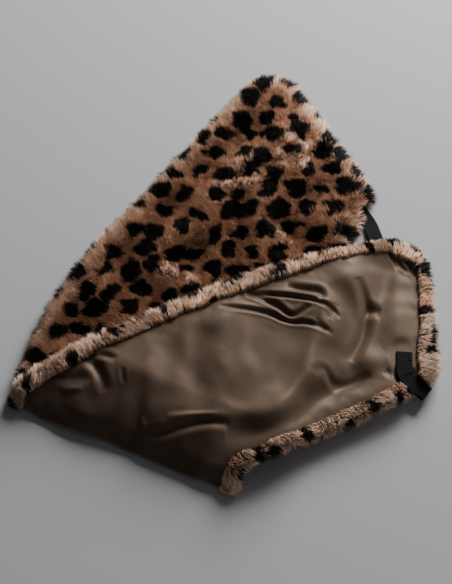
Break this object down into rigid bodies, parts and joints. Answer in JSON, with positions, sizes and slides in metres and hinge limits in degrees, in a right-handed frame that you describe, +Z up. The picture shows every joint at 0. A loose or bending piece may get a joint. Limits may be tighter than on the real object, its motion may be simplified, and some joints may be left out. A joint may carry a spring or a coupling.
{
  "type": "faux fur neck collar",
  "caption": "Curved leopard-print faux fur neck collar, satin lined, with a ribbon loop at each end, shown folded in half pile to pile.",
  "frame": {"origin": "on the surface the collar lies on, under the middle of its bounding box", "axes": "+Z up from the surface, +Y away from the fold, +X towards the free end of the upper half"},
  "size_m": [0.398, 0.4712, 0.0314],
  "materials": {
    "fur": "deep cut pile, tan with near-black spots and pale tips at the edges",
    "satin": "bronze-brown satin weave, soft directional sheen",
    "wadding": "soft bonded interlining, matt",
    "ribbon": "black grosgrain with fine cross ribs, matt",
    "thread": "dark polyester sewing thread"
  },
  "bodies": {
    "resting_half": {"fur_resting": "fur", "lining_resting": "satin", "wadding_resting": "wadding", "edge_stitches_resting": "thread", "ribbon_base_resting": "ribbon", "ribbon_stitches_resting": "thread", "fur_fold": "fur", "lining_fold": "satin", "wadding_fold": "wadding"},
    "folded_half": {"fur_folded": "fur", "lining_folded": "satin", "wadding_folded": "wadding", "edge_stitches_folded": "thread", "ribbon_base_folded": "ribbon", "ribbon_stitches_folded": "thread"},
    "loop_resting": {"ribbon_loop_resting": "ribbon"},
    "loop_folded": {"ribbon_loop_folded": "ribbon"}
  },
  "joints": [
    {"name": "centre_fold", "type": "hinge", "parent": "resting_half", "child": "folded_half", "pos_m": [-0.09019, -0.18532, 0.01585], "axis": [0.9239, -0.3826, 0], "range_deg": [0, 179], "deforming": ["fur_fold", "lining_fold", "wadding_fold"]},
    {"name": "loop_flex_resting", "type": "hinge", "parent": "resting_half", "child": "loop_resting", "pos_m": [0.147, 0.0485, 0.002], "axis": [-0.9342, -0.3567, 0], "range_deg": [0, 70]},
    {"name": "loop_flex_folded", "type": "hinge", "parent": "folded_half", "child": "loop_folded", "pos_m": [0.1665, -0.126, 0.0155], "axis": [-0.922, -0.3873, 0], "range_deg": [0, 150]}
  ]
}
